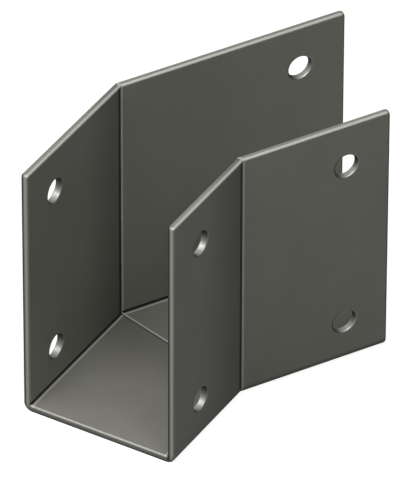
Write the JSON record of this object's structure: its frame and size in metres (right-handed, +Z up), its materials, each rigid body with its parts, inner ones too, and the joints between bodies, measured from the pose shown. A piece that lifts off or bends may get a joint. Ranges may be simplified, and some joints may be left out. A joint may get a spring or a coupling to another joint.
{
  "type": "pergola purlin bracket",
  "caption": "Welded steel bracket: open-topped channels meet at an angle in plan and hold timbers end to end, with bolt holes in the walls.",
  "frame": {"origin": "on the underside of the base, mid-width of the front channel, straight below its bolt holes", "axes": "+Z up, out of the open top; +Y along the front channel towards the weld; +X to the side that the rear channel turns to"},
  "size_m": [0.1458, 0.228, 0.165],
  "materials": {
    "coated_steel": "satin dark grey coating",
    "coated_weld": "ground weld under the same coating"
  },
  "bodies": {
    "root": {"front_channel": "coated_steel", "rear_channel": "coated_steel", "mitre_weld": "coated_weld"}
  },
  "joints": []
}
